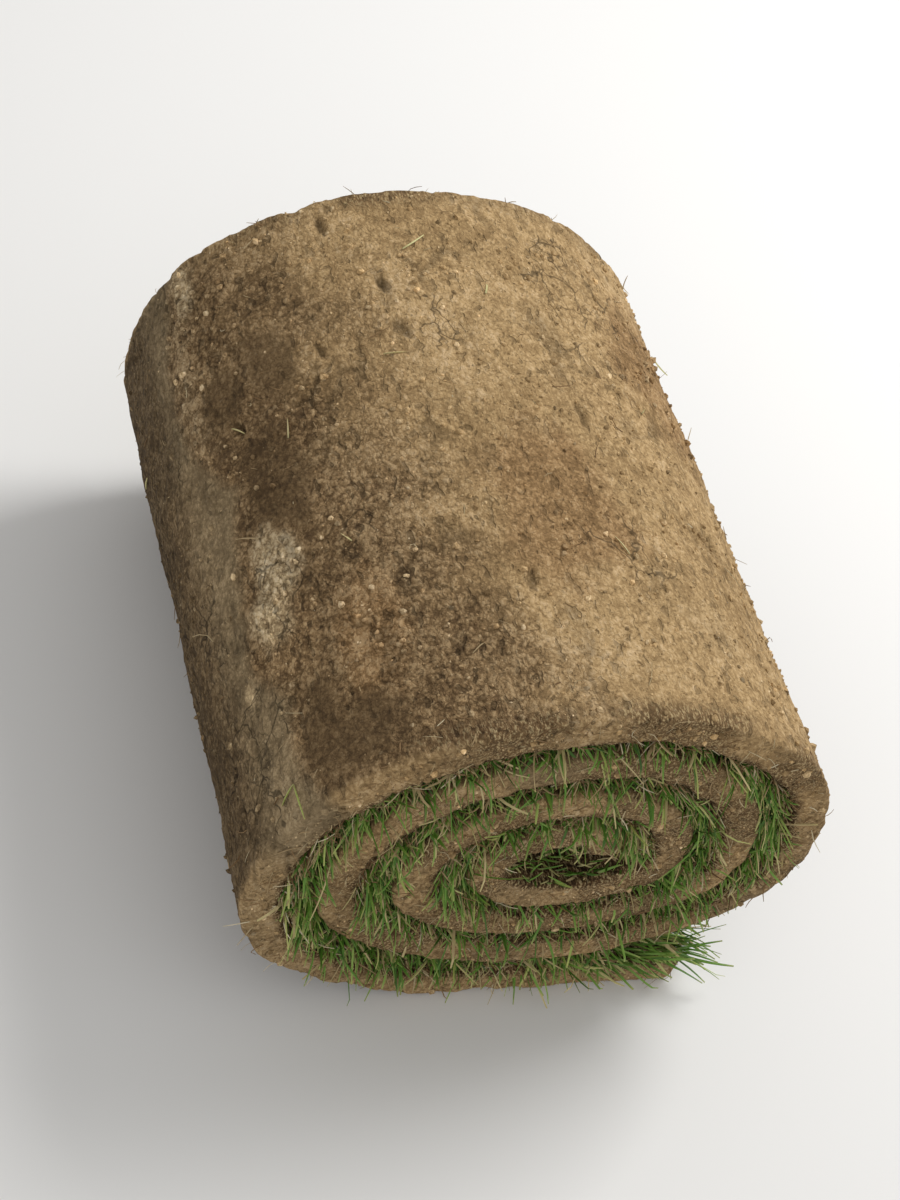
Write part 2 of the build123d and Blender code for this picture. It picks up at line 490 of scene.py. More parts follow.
def soil_finish(name, loose=False):
    """Cut soil: crumbs, tears, cracks, dry clods and dark smooth patches, thatch on its grass side, with
    painted shade in cracks, tears, holes and pits and on the lower sides.
    """
    f = Finish(name, 0.95, 0.12)
    smooth = f.most(f.times(f.value("clay"), 0.45), f.times(f.value("dark_patch"), 0.75))
    # Crumbs show less under the painted sunlight
    even = f.rest(f.times(f.value("painted_sunlight"), 0.35))
    rough = f.times(f.rest(smooth), even)
    lumpy = f.times(f.rest(f.times(smooth, 1.6)), even)

    # Crumbs of three sizes, drawn out a little along the roll's axis, each of a random tone and darker
    # towards its edge: painted shade between the crumbs
    bent = f.swayed(0.0040, 150.0, 0.0, 0.5)
    crumb_place = f.drawn_out(0.70, bent)
    large_dome, large_hue = f.cells(210.0, crumb_place)
    middle_dome, middle_hue = f.cells(430.0, crumb_place)
    _, small_hue = f.cells(900.0)
    coarse = f.grain(14.0, 2.0)
    medium = f.grain(110.0, 3.0, 0.65, crumb_place)
    fine = f.grain(1500.0, 0.0)
    large = f.total((0.19, large_hue), (-0.15, large_dome))
    small = f.total((0.22, middle_hue), (0.18, small_hue), (-0.27, middle_dome))
    small_share = f.plus(rough, 0.10)
    tone = f.total((0.45, coarse), (0.42, medium), (lumpy, large), (small_share, small), (0.14, fine))
    tone = f.span(tone, 0.32, 0.94)

    # Painted shade in tears along the roll's axis, in holes and in cracks, but not in loose crumbs
    gaps, hollow_shade = 0.0, 0.0
    if not loose:
        tears = f.span(f.grain(185.0, 1.0, 0.55, f.drawn_out(0.36, bent)), 0.375, 0.310)
        holes = f.times(f.span(f.grain(420.0, 0.0), 0.36, 0.28), rough)
        gaps = f.most(f.times(tears, rough), f.times(holes, 0.45))
        hollow_shade = f.most(f.times(crust_crack_shade(f), 0.62), f.times(gaps, 0.45))

    # The kinds of soil over each other, painted sunlight among them, and thatch
    colour = f.colours(tone, PLAIN_SOIL)
    for kind, palette in SOIL_KINDS.items():
        colour = f.mix(f.value(kind), colour, f.colours(tone, palette))
    fibre = f.span(f.grain(700.0, 2.0, 0.7, f.drawn_out(0.30)), 0.36, 0.66)
    colour = f.mix(f.value("thatch"), colour, f.colours(fibre, MAT_COLOURS, MAT_PLACES))

    # Darker: painted shade in cracks, tears and holes; the dark smooth patches; and lighter or darker soil
    # from the last value, with painted shade on the lower sides and in pits
    shade = f.times(f.rest(f.times(f.value("crack"), 0.35)), f.rest(hollow_shade))
    shade = f.times(shade, f.rest(f.times(f.value("dark_patch"), 0.50)))
    shade = f.times(shade, f.plus(1.0, f.value("speck_and_painted_shade")))
    shade = f.node("CombineColor", _0=shade, _1=shade, _2=shade)
    f.colour(f.mix(1.0, colour, shade, "MULTIPLY"))

    bulk = f.total((0.9, medium), (-0.60, large_dome))
    height = f.total((lumpy, bulk), (-0.50, middle_dome), (0.16, fine))
    height = f.total((rough, height), (0.06, fine), (-0.75, gaps))
    f.bump(height, 0.0007 if loose else 0.0020)
    return f.material


def grass_finish():
    """Blades: green of many tones, pale at the base, yellow or dead at some tips."""
    f = Finish("turf_grass", 0.50, 0.32)
    tone = f.plus(f.value("tint"), f.times(f.grain(120.0, 0.0), 0.08))
    colour = f.colours(f.plus(tone, -0.04), BLADE_COLOURS, BLADE_PLACES)
    colour = f.mix(f.span(f.value("along"), 0.0, 0.35, 0.75, 0.0), colour, BLADE_BASE)
    f.colour(f.mix(f.span(f.value("along"), 0.78, 1.0, 0.0, 0.45), colour, BLADE_TIP))
    f.bump(f.grain(900.0, 0.0), 0.0002, 0.5)
    return f.material


def fibre_finish():
    """Roots, straw and thatch stems: pale straw to reddish brown."""
    f = Finish("turf_fibre", 0.75, 0.2)
    tone = f.plus(f.value("tint"), f.times(f.grain(260.0, 1.0), 0.25))
    f.colour(f.colours(f.plus(tone, -0.12), FIBRE_COLOURS, FIBRE_PLACES))
    f.bump(f.grain(1200.0, 0.0), 0.0002, 0.6)
    return f.material


def thatch_finish():
    """Dense mat between the turns: brown at the roots, olive towards the pressed blades."""
    f = Finish("turf_thatch", 0.88, 0.15)
    stems_grain = f.grain(520.0, 4.0, 0.7, f.drawn_out(0.35))
    tone = f.span(f.total((0.8, stems_grain), (0.3, f.grain(120.0, 3.0))), 0.38, 0.74)
    to_blades = f.span(f.value("share"), 0.15, 0.60)
    f.colour(f.mix(to_blades, f.colours(tone, THATCH_ROOTS), f.colours(tone, THATCH_BLADES)))
    f.bump(tone, 0.0015, 0.9)
    return f.material


soil_material = soil_finish("turf_soil")
crumb_material = soil_finish("turf_crumbs", loose=True)
grass_material = grass_finish()
fibre_material = fibre_finish()
thatch_material = thatch_finish()


# Soil

RIM = 0.004
TIP_ROUND = 0.007

# Patches of the photographed roll: distance along the strip, y, and half sizes
CLODS = (
    (0.512, -0.050, 0.020, 0.030),
    (0.500, -0.088, 0.018, 0.026),
    (0.469, -0.124, 0.006, 0.008),
    (0.497, 0.206, 0.011, 0.024),
    (0.940, -0.150, 0.030, 0.035),
)
WARM_PATCHES = ((0.562, -0.132, 0.026, 0.046), (0.700, -0.060, 0.050, 0.070), (0.860, 0.090, 0.070, 0.080))
# Soft-edged patches where the soil is darker and smoother
DARK_PATCHES = (
    (0.542, 0.104, 0.020, 0.032),
    (0.508, 0.092, 0.016, 0.024),
    (0.528, 0.008, 0.025, 0.050),
    (0.520, -0.184, 0.018, 0.038),
    (0.548, -0.192, 0.026, 0.026),
)
PALE_PATCHES = (
    (0.474, -0.005, 0.026, 0.080),
    (0.474, -0.162, 0.026, 0.064),
    (0.508, -0.104, 0.024, 0.036),
)
CRACKED_PATCHES = (
    (0.468, -0.175, 0.032, 0.055),
    (0.445, -0.060, 0.016, 0.030),
    (0.395, 0.080, 0.020, 0.120),
    (0.780, 0.150, 0.050, 0.050),
    (0.930, -0.120, 0.050, 0.060),
)
PATCH_WARP = 0.55
PATCH_WARP_SPAN = 0.03

# Torn-out pits: distance along the strip, y, half sizes and a slant
PITS = (
    (0.635, 0.098, 0.0042, 0.0105, 0.35),
    (0.604, 0.204, 0.0032, 0.0110, 0.10),
    (0.630, 0.139, 0.0030, 0.0085, 0.15),
    (0.579, 0.097, 0.0026, 0.0080, 0.20),
    (0.512, 0.066, 0.0026, 0.0075, 0.30),
    (0.665, -0.120, 0.0036, 0.0095, -0.20),
    (0.740, 0.020, 0.0034, 0.0120, 0.15),
    (0.830, -0.060, 0.0040, 0.0090, 0.30),
    (0.890, 0.170, 0.0036, 0.0110, -0.15),
)

# Where the smooth clay of the left side gives way to crumbly soil: y and distance along the strip
CLAY_EDGE_Y = (-0.23, -0.2, -0.175, -0.145, -0.12, -0.1, -0.05, 0.0, 0.02, 0.07, 0.12, 0.15, 0.2, 0.23)
CLAY_EDGE_S = (0.51, 0.5, 0.496, 0.5, 0.482, 0.48, 0.487, 0.494, 0.5, 0.473, 0.468, 0.472, 0.485, 0.491)

# Heights of the soil's relief
SWELLING = 0.0013
RIPPLE = 0.0007
LUMP = 0.0016
CLOD = 0.0026
CRACK = 0.0010
RIDGE = 0.0012
PIT = 0.0030
RIM_WEAR = 0.0019


def patches(table, s, y):
    """Soft ragged patches on the soil face."""
    plane = np.stack([s, y, 0 * s], -1) / PATCH_WARP_SPAN
    shares = []
    for at_s, at_y, size_s, size_y in table:
        warp = fractal(plane, 3, at_s * 9)
        reach = ((s - at_s) / size_s) ** 2 + ((y - at_y) / size_y) ** 2
        shares.append(ramp(1.35 - reach + PATCH_WARP * warp, 0.0, 1.0))
    return np.max(shares, axis=0)


def clay_edge(y):
    """Distance along the strip where the smooth clay of the left side ends."""
    return np.interp(y, CLAY_EDGE_Y, CLAY_EDGE_S) + 0.004 * fractal(line(y / 0.030), 3, 3.0)


def pit_depth(s, y):
    """Share of the full depth of the torn-out pits."""
    depth = np.zeros_like(s)
    for at_s, at_y, size_s, size_y, slant in PITS:
        across = (s - at_s + slant * (y - at_y)) / size_s
        depth = np.maximum(depth, ramp(1.3 - across**2 - ((y - at_y) / size_y) ** 2, 0.0, 1.0))
    return depth


def near_rim(y, low, high):
    """A ramp between two distances from the cut ends."""
    return ramp(np.abs(y), HALF_STRIP - low, HALF_STRIP - high)


def soil_kinds(s, y, q):
    """Shares of each kind of soil, of painted sunlight on the top and of dark smooth patches, and of a
    ridge of crumbs along the far half of the clay's edge.

    The ramps along s are the stretches of the strip in which a kind sets in or ends.
    """
    edge = clay_edge(y)
    clay = ramp(edge - s, -0.005, 0.010) * ramp(s, 0.20, 0.27) * (0.35 + 0.65 * ramp(s, 0.425, 0.470))
    far_clay = ramp(noise(q / 0.11, 71.0), 0.15, 0.65) * ramp(s, 0.72, 0.85)
    clay = np.maximum(clay, 0.75 * far_clay)
    # Painted sunlight: the top of the roll is paler, partly drier soil and partly painted sunlight; the
    # cut rims take the same paler colours
    painted_sunlight = ramp(s + 0.25 * y + 0.030 * fractal(q / 0.05, 2, 21.0), 0.560, 0.655) * ramp(s, 1.02, 0.88)
    painted_sunlight = np.maximum(painted_sunlight, 0.80 * near_rim(y, 0.008, 0.002))
    ridge = np.exp(-(((s - edge - 0.011) / 0.009) ** 2)) * ramp(y, 0.035, 0.085)
    ridge *= 0.55 + 0.9 * ramp(fractal(q / 0.008, 2, 36.0), -0.2, 0.5)
    dry = np.clip(np.maximum(patches(CLODS, s, y), 0.32 * ridge), 0, 1)
    dry *= 0.62 + 0.38 * ramp(fractal(q / 0.009, 2, 38.0), -0.35, 0.25)
    warm = 0.8 * patches(WARM_PATCHES, s, y) * (1 - clay)
    # Darker, smoother patches, not over the dry clods
    dark_patch = 0.54 * patches(DARK_PATCHES, s, y) * (1 - dry)
    return {"clay": clay, "painted_sunlight": painted_sunlight, "dry": dry, "warm": warm, "dark_patch": dark_patch}, ridge


def seams(points, size, offset, width, soft):
    """1 on the seams between cells of a size."""
    first, second, _ = cells(points / size, offset)
    return ramp(width - (second - first), 0.0, soft)


def soil_cracks(s, y, depth, q, dry):
    """Modelled cracks, mostly along the roll's axis."""
    sway = np.stack([noise(q / 0.03, 3.0), noise(q / 0.03, 13.0), 0 * s], -1)
    stretched = np.stack([s, y * 0.55, depth], -1) + 0.010 * sway
    broken = ramp(noise(q / 0.06, 8.0) + 0.35 * dry, -0.10, 0.45)
    large = seams(stretched, 0.034, 2.0, 0.085, 0.075) * broken
    small = seams(stretched, 0.015, 6.0, 0.12, 0.11) * ramp(noise(q / 0.035, 18.0), 0.05, 0.45)
    return np.maximum(large, 0.6 * small)


def soil_values(s, y, depth):
    """Relief of the soil along its surface's way outwards, and the values that its finish uses.

    In crack are the modelled cracks, and in cracked the places where the finish has more cracks of its
    own, drawn as painted shade. The last value makes soil lighter or darker: pale patches are the soil's
    own, the darkening of the lower sides and of the pits is painted shade.
    """
    q = np.stack([s, y, depth], -1)
    kinds, ridge = soil_kinds(s, y, q)
    clay, painted_sunlight, dry, dark_patch = (kinds[key] for key in ("clay", "painted_sunlight", "dry", "dark_patch"))
    crack = soil_cracks(s, y, depth, q, dry)
    pit = pit_depth(s, y)

    crumbly = np.clip(1 - 0.85 * clay - 1.1 * dark_patch + 0.9 * dry - 0.30 * painted_sunlight, 0, 1.4)
    first, _, size = cells(q / 0.0075, 11.0)
    lumps = (0.55 - first) * (0.35 + size)
    holes = ramp(noise(q / 0.011, 27.0), 0.45, 0.85)
    relief = SWELLING * fractal(q / 0.045, 2, 40.0)
    relief += RIPPLE * fractal(q / 0.010, 2, 45.0) * (0.35 + 0.65 * crumbly)
    relief += LUMP * lumps * crumbly - LUMP * holes * crumbly
    relief += CLOD * dry * (0.4 + fractal(q / 0.011, 2, 52.0)) - CRACK * crack
    relief += RIDGE * ridge - PIT * pit
    relief -= near_rim(y, 0.016, 0.0) * RIM_WEAR * ramp(fractal(q / 0.020, 3, 60.0), -0.1, 0.9)

    grass_side = ramp(depth + 0.0035 * fractal(q / 0.012, 2, 80.0), SOIL - 0.0075, SOIL - 0.002)
    fringe = near_rim(y, 0.022, 0.004) * ramp(noise(q / 0.05, 90.0), -0.35, 0.4) * (0.75 - 0.75 * dark_patch)
    # Painted shade on the lower sides of the soil face, below the clay's edge and near the bottom, not at
    # the cut ends
    painted_shade_edge = s - 0.020 * ramp(y, 0.04, 0.10) + 0.010 * fractal(q / 0.05, 3, 64.0)
    painted_shade_low_side = ramp(painted_shade_edge, 0.456, 0.410) + ramp(s, 0.90, 1.15)
    painted_shade_low_side *= ramp(depth, 0.006, 0.002) * near_rim(y, 0.002, 0.010)
    return relief, {
        **kinds,
        "crack": crack,
        "cracked": patches(CRACKED_PATCHES, s, y),
        "thatch": np.maximum(grass_side, fringe * ramp(s, 0.45, 0.60)),
        # Pale patches are the soil's own; the lower sides and the pits get painted shade
        "speck_and_painted_shade": 0.30 * patches(PALE_PATCHES, s, y) - 0.42 * painted_shade_low_side - 0.45 * pit,
    }


def ring_columns(soil_pitch, grass_pitch):
    """Columns round the strip: the point that each one stands off from, and its way outwards."""
    half, deep = HALF_STRIP - RIM, SOIL - RIM

    def across(pitch, rim_steps, rim_band=0.030):
        inner = np.arange(0, half - rim_band, pitch)
        outer = np.linspace(half - rim_band, half, rim_steps)
        return np.concatenate([-outer[::-1], -inner[:0:-1], inner, outer])

    def corner(y, depth, first):
        turn = np.radians(first + np.array([22.5, 45.0, 67.5]))
        return [(y, depth, math.cos(a), math.sin(a)) for a in turn]

    down = np.linspace(RIM, deep, 8)
    columns = [(y, RIM, 0, -1) for y in across(soil_pitch, rim_steps=13)]
    columns += corner(half, RIM, -90) + [(half, d, 1, 0) for d in down]
    columns += corner(half, deep, 0)
    columns += [(y, deep, 0, 1) for y in across(grass_pitch, rim_steps=7)[::-1]]
    columns += corner(-half, deep, 90) + [(-half, d, -1, 0) for d in down[::-1]]
    columns += corner(-half, RIM, 180)
    return np.array(columns)


def paced(first, last, pitch, fine_pitch=None, fine_from=0.0, fine_to=0.0):
    """Places from first to last, a pitch apart, and nearer together on one stretch."""
    table = np.linspace(first, last, 5000)
    fine = (table > fine_from) & (table < fine_to)
    passed = np.cumsum(1 / np.where(fine, fine_pitch or pitch, pitch)) * (table[1] - table[0])
    return np.interp(np.linspace(passed[0], passed[-1], int(round(passed[-1])) + 1), passed, table)


def closing_rows(at, inwards, rounded):
    """Rows that close an end, from its middle out: places, insets and how much each faces along."""
    flat = [SOIL / 2 - 0.0002, SOIL * 0.36, TIP_ROUND]
    if not rounded:
        insets = [*flat, RIM, 0.0]
        return [at] * len(insets), insets, [0.0] * len(insets)
    turn = np.radians([0, 18, 36, 54, 72])
    places = list(at + inwards * TIP_ROUND * (1 - np.cos(turn)))
    insets = list(TIP_ROUND * (1 - np.sin(turn)))
    return [at] * 2 + places, flat[:2] + insets, [1.0] * 2 + [0.8, 0.6, 0.4, 0.2, 0.0]


def soil_piece(name, rows, columns, round_first=False, round_last=False):
    """A closed length of the strip's soil. The strip's own ends are rounded."""
    first, last = rows[0], rows[-1]
    if round_first:
        rows = [x for x in rows if x >= first + TIP_ROUND]
    if round_last:
        rows = [x for x in rows if x <= last - TIP_ROUND]
    before = closing_rows(first, 1, round_first)
    after = closing_rows(last, -1, round_last)
    flat = [0.0] * len(rows)
    body = (list(rows), flat, flat)
    s, inset, cap = (np.array(a + b + c[::-1])[:, None] for a, b, c in zip(before, body, after))

    y0, d0, ny, nd = columns.T
    stand = np.maximum(RIM - inset, 0)
    limit = np.maximum(inset, RIM)
    y = np.clip(y0, -(HALF_STRIP - limit), HALF_STRIP - limit) + stand * ny
    depth = np.clip(d0, limit, SOIL - limit) + stand * nd
    s = np.broadcast_to(s, y.shape)
    relief, values = soil_values(s, y, depth)
    end = -1.0 if round_first else 1.0
    side = 1 - cap
    points = wound(s + end * cap * relief * 0.5, y + relief * ny * side, depth + relief * nd * side)
    points[..., 2] = np.maximum(points[..., 2], 0.0)
    points = points.reshape(-1, 3)
    triangles = outwards_first(points, grid_triangles(*y.shape))
    values = {key: value.ravel() for key, value in values.items()}
    return piece(name, points, triangles, soil_material, "soil", True, **values)


TURN_PITCH = 0.0036

fine_columns = ring_columns(soil_pitch=0.0025, grass_pitch=0.014)
end_columns = ring_columns(soil_pitch=0.020, grass_pitch=0.020)
tail_rows = paced(0.0, TAIL_LENGTH, pitch=0.0028)
outer_rows = paced(TAIL_LENGTH, BOTTOM, TURN_PITCH, fine_pitch=0.0024, fine_from=0.30, fine_to=0.90)
inner_rows = paced(BOTTOM, STRIP_LENGTH, TURN_PITCH)
soil_piece("soil_outer_end", tail_rows, end_columns, round_first=True)
outer_turn = soil_piece("soil_outer_turn", outer_rows, fine_columns)
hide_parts("turf_roll")
soil_piece("soil_inner_turns", inner_rows, end_columns, round_last=True)


# Thatch between the turns

THATCH_PITCH = 0.0030
THATCH_BACK = 0.009
THATCH_OVERLAP = 0.05


def thatch_piece():
    """The dense mat that fills the spiral gap, standing back from both cut ends."""
    rows = np.arange(TUCK_S + 0.004, GAP_END, THATCH_PITCH)
    front = HALF_STRIP - THATCH_BACK
    shares = np.linspace(-THATCH_OVERLAP, 1 + THATCH_OVERLAP, 9)
    side = np.linspace(-front + 0.02, front - 0.02, 6)
    columns = [(-THATCH_OVERLAP, y) for y in side]
    columns += [(share, front) for share in shares]
    columns += [(1 + THATCH_OVERLAP, y) for y in side[::-1]]
    columns += [(share, -front) for share in shares[::-1]]
    share, y = np.array(columns).T
    s = np.broadcast_to(rows[:, None], (len(rows), len(share)))
    share, y = np.broadcast_to(share, s.shape), np.broadcast_to(y, s.shape)
    q = np.stack([s, y, share * 0.02], -1)
    back = 0.004 * fractal(q / 0.009, 3, 4.0) - 0.004 * ramp(share, 0.2, 1.0)
    y = np.where(np.abs(y) > front - 0.001, y + np.sign(y) * back, y)
    points = in_gap(s, share, y)
    first = points[0].mean(0) + 0 * points[:1]
    last = points[-1].mean(0) + 0 * points[:1]
    points = np.concatenate([first, points, last]).reshape(-1, 3)
    share = np.concatenate([share[:1], share, share[-1:]])
    triangles = outwards_first(points, grid_triangles(len(rows) + 2, s.shape[1]))
    piece("thatch", points, triangles, thatch_material, "grass", True, share=share.ravel())


thatch_piece()


# Blades and fibres

# Sides of a strand, its longest reach past a cut end, and the least height of its line and points
SIDES = 3
OVERHANG = 0.0195
LOWEST_STRAND = 0.0008
LOWEST_POINT = 0.0002


def unit(vectors):
    return vectors / np.maximum(np.linalg.norm(vectors, axis=-1, keepdims=True), 1e-9)


def strands(name, material, slot, root, way, bend, length, width, tint, rings, keep, flatness=0.28):
    """Many closed strands: grass blades, or with a flatness near 1 round fibres."""
    count = len(root)
    steps = np.linspace(0, 1, rings)
    path, ways = [root], [unit(way)]
    for share in steps[1:]:
        now = unit(way + bend * share)
        path.append(path[-1] + now * (length / (rings - 1))[:, None])
        ways.append(now)
    path, ways = keep(np.stack(path, 1)), np.stack(ways, 1)
    side = unit(np.cross(ways, rng.normal(size=(count, 1, 3))))
    side = unit(side[:, :1] + 0.35 * side)
    side = unit(side - ways * (side * ways).sum(-1, keepdims=True))
    lift = np.cross(side, ways)
    taper = 1 - 0.55 * steps**2 - 0.25 * (1 - steps) ** 3
    half = (0.5 * width[:, None] * taper)[..., None]
    left = path + side * half + lift * (half * flatness)
    right = path - side * half + lift * (half * flatness)
    keel = path - lift * (half * flatness * 1.6)
    points = np.stack([left, right, keel], 2).reshape(-1, 3)
    points[:, 2] = np.maximum(points[:, 2], LOWEST_POINT)
    last = SIDES * (rings - 1)
    caps = [[0, 2, 1], [last, last + 1, last + 2]]
    tube = np.concatenate([grid_triangles(rings, SIDES), caps])
    firsts = np.arange(count) * SIDES * rings
    triangles = outwards_first(points[: SIDES * rings], tube)[None] + firsts[:, None, None]
    along = np.broadcast_to(steps[None, :, None], (count, rings, SIDES)).ravel()
    tints = np.repeat(tint, rings * SIDES)
    piece(name, points, triangles.reshape(-1, 3), material, slot, False, tint=tints, along=along)


def blade_tints(count, straw_share):
    """Mostly greens, with a share of straw and dead blades."""
    green = np.clip(rng.normal(0.29, 0.15, count), 0.02, 0.62)
    straw = rng.uniform(0.66, 0.98, count)
    return np.where(rng.random(count) < straw_share, straw, green)


def held_in(path):
    """Keeps strands inside the room that the grass may take past the cut ends."""
    path = path.copy()
    reach = HALF_STRIP + OVERHANG
    path[..., 1] = np.clip(path[..., 1], -reach, reach)
    path[..., 2] = np.maximum(path[..., 2], LOWEST_STRAND)
    return path


# Places along the gap between the turns, more of them where it is wide and in tufts
GAP_TABLE = np.linspace(TUCK_S + 0.002, GAP_END - 0.001, 800)
GAP_SIZE = np.linalg.norm(in_gap(GAP_TABLE, 1.0, 0.0) - in_gap(GAP_TABLE, 0.0, 0.0), axis=-1)
TUFTS = 0.40 + 1.2 * ramp(noise(line(GAP_TABLE / 0.017), 14.0), -0.5, 0.6)
GAP_SUM = np.concatenate([[0], np.cumsum((GAP_SIZE[1:] + 0.004) * TUFTS[1:])])
GAP_SUM /= GAP_SUM[-1]


def end_grass(name, end, count):
    """Blades pressed between the turns that stick out at a cut end and hang over the soil."""
    s = np.interp(rng.random(count), GAP_SUM, GAP_TABLE)
    share = rng.uniform(0.12, 0.97, count)
    root = in_gap(s, share, end * (HALF_STRIP - rng.uniform(0.008, 0.022, count)))
    along, outwards = strip_ways(s)
    tuft = np.stack([s / 0.011, share * 2.0, np.full(count, 3.0 * end)], -1)
    way = np.array([0.0, end, 0.0]) * rng.uniform(0.40, 1.0, count)[:, None]
    way = way + along * (rng.normal(0, 0.38, count) + 0.75 * noise(tuft, 5.0))[:, None]
    way = way + outwards * (rng.normal(0.05, 0.14, count) + 0.30 * noise(tuft, 9.0))[:, None]
    bend = np.array([0.0, 0.0, -1.0]) * rng.uniform(0.1, 1.2, count)[:, None]
    bend = bend + 0.42 * rng.normal(size=(count, 3))
    length = rng.uniform(0.011, 0.028, count) * (0.75 + 0.5 * ramp(noise(tuft, 15.0), -0.5, 0.5))
    length *= np.where(rng.random(count) < 0.08, 1.6, 1.0)
    width = rng.uniform(0.0010, 0.0024, count)
    tint = blade_tints(count, straw_share=0.24) + 0.10 * noise(tuft, 25.0)
    strands(name, grass_material, "grass", root, way, bend, length, width, tint, 5, held_in)


def stems(name, end, count):
    """Brown and straw stems of the thatch, short and matted, at the roots' side of the gap."""
    s = np.interp(rng.random(count), GAP_SUM, GAP_TABLE)
    share = np.abs(rng.normal(0, 0.28, count)) - 0.08
    root = in_gap(s, share, end * (HALF_STRIP - rng.uniform(0.004, 0.016, count)))
    along, outwards = strip_ways(s)
    way = np.array([0.0, end, 0.0]) * rng.uniform(0.2, 0.8, count)[:, None]
    way = way + along * rng.normal(0, 1, count)[:, None]
    way = way + outwards * rng.normal(0, 0.25, count)[:, None]
    bend = 0.8 * rng.normal(size=(count, 3)) + np.array([0, 0, -0.4])
    length = rng.uniform(0.008, 0.020, count)
    width = rng.uniform(0.0005, 0.0011, count)
    tint = np.clip(rng.normal(0.48, 0.25, count), 0, 1)
    strands(name, fibre_material, "grass", root, way, bend, length, width, tint, 4, held_in, 0.8)


def tail_grass(name, count):
    """Grass on the strip's outer end, which lies on the ground with its grass up."""
    under, _ = section(np.linspace(quarter_start(2), BOTTOM, 200))
    under_x, under_z = under[::-1, 0], under[::-1, 1]
    x = 0.052 + (TAIL_REACH - 0.053) * rng.random(count) ** 0.75
    y = rng.uniform(-HALF_STRIP + 0.003, HALF_STRIP - 0.003, count)
    root = np.stack([x, y, np.full(count, SOIL - 0.003)], -1)
    forwards, sideways = rng.uniform(0.1, 1.1, count), rng.normal(0, 0.5, count)
    way = np.stack([forwards, sideways, rng.uniform(0.35, 1.0, count)], -1)
    way[:, 1] += 0.5 * np.sign(y) * ramp(np.abs(y), 0.17, 0.20)
    forwards, sideways = rng.uniform(0.2, 1.2, count), rng.normal(0, 0.5, count)
    bend = np.stack([forwards, sideways, rng.uniform(-1.5, -0.1, count)], -1)
    length = rng.uniform(0.018, 0.044, count)
    width = rng.uniform(0.0014, 0.0030, count)
    tint = blade_tints(count, straw_share=0.20)

    def below_roll(path):
        path = held_in(path)
        roof = np.interp(path[..., 0], under_x, under_z, right=FAR_AWAY) - 0.002
        floor = np.where(path[..., 0] < TAIL_REACH, SOIL - 0.003, 0.001)
        path[..., 2] = np.maximum(np.minimum(path[..., 2], roof), floor)
        return path

    strands(name, grass_material, "grass", root, way, bend, length, width, tint, 6, below_roll)


def eye_grass(name, count):
    """Grass on the inside of the innermost turn, round the open eye."""
    s = rng.uniform(quarter_start(10), STRIP_LENGTH - 0.004, count)
    side = np.sign(rng.random(count) - 0.5)
    y = side * (HALF_STRIP - np.abs(rng.normal(0, 0.07, count)) - 0.002)
    root = wound(s, y, np.full(count, SOIL - 0.001))
    along, outwards = strip_ways(s)
    way = -outwards * rng.uniform(0.25, 0.8, count)[:, None]
    way = way + along * rng.normal(0, 0.8, count)[:, None]
    way[:, 1] += side * rng.uniform(-0.2, 0.9, count)
    bend = -along * rng.normal(0, 0.6, count)[:, None] + 0.3 * rng.normal(size=(count, 3))
    length = rng.uniform(0.008, 0.018, count)
    width = rng.uniform(0.0012, 0.0022, count)
    tint = blade_tints(count, straw_share=0.30)
    strands(name, grass_material, "grass", root, way, bend, length, width, tint, 5, held_in)


# Crumbs, roots and straws on the soil

GOLDEN = (1 + 5**0.5) / 2

# Straws and stray blades of the photographed roll: s, y, way along the strip and across, length, tint
STRAWS = (
    (0.544, 0.034, 0.25, 0.95, 0.017, 0.80),
    (0.618, 0.078, 0.95, -0.10, 0.016, 0.78),
    (0.507, 0.068, 0.75, -0.70, 0.012, 0.78),
    (0.652, 0.168, 0.80, 0.35, 0.022, 0.74),
    (0.488, -0.203, 0.15, -1.00, 0.026, 0.60),
    (0.488, -0.203, -0.75, -0.40, 0.016, 0.62),
    (0.566, -0.062, -0.50, 0.80, 0.012, 0.78),
    (0.700, 0.125, 0.40, 0.90, 0.015, 0.76),
    (0.735, -0.100, -0.30, 0.90, 0.020, 0.80),
    (0.800, 0.040, 0.70, 0.60, 0.017, 0.78),
    (0.885, 0.150, 0.90, -0.20, 0.022, 0.72),
    (0.935, -0.130, 0.20, 1.00, 0.015, 0.80),
    (0.395, 0.110, 0.40, 0.90, 0.012, 0.76),
)


def surface_points(s, y, depth, ny, nd):
    """Points of the soil's rough surface, and the ways outwards there."""
    relief, values = soil_values(s, y, depth)
    points = wound(s, y + relief * ny, depth + relief * nd)
    _, outwards = section(s)
    normal = np.stack([-nd * outwards[:, 0], ny, -nd * outwards[:, 1]], -1)
    return points, normal, values


def scatter(count, end_share):
    """Random places on the outer turn's soil face and on both cut ends."""
    on_end = rng.random(count) < end_share
    end_s = rng.uniform(0.004, STRIP_LENGTH - 0.01, count)
    face_s = rng.uniform(TAIL_LENGTH + 0.03, BOTTOM - 0.06, count)
    s = np.where(on_end, end_s, face_s)
    side = np.sign(rng.random(count) - 0.5)
    y = np.where(on_end, side * HALF_STRIP, rng.uniform(-HALF_STRIP + RIM, HALF_STRIP - RIM, count))
    depth = np.where(on_end, rng.uniform(RIM, SOIL - 0.005, count), 0.0)
    ny = np.where(on_end, side, 0.0)
    nd = np.where(on_end, 0.0, -1.0)
    return s, y, depth, ny, nd


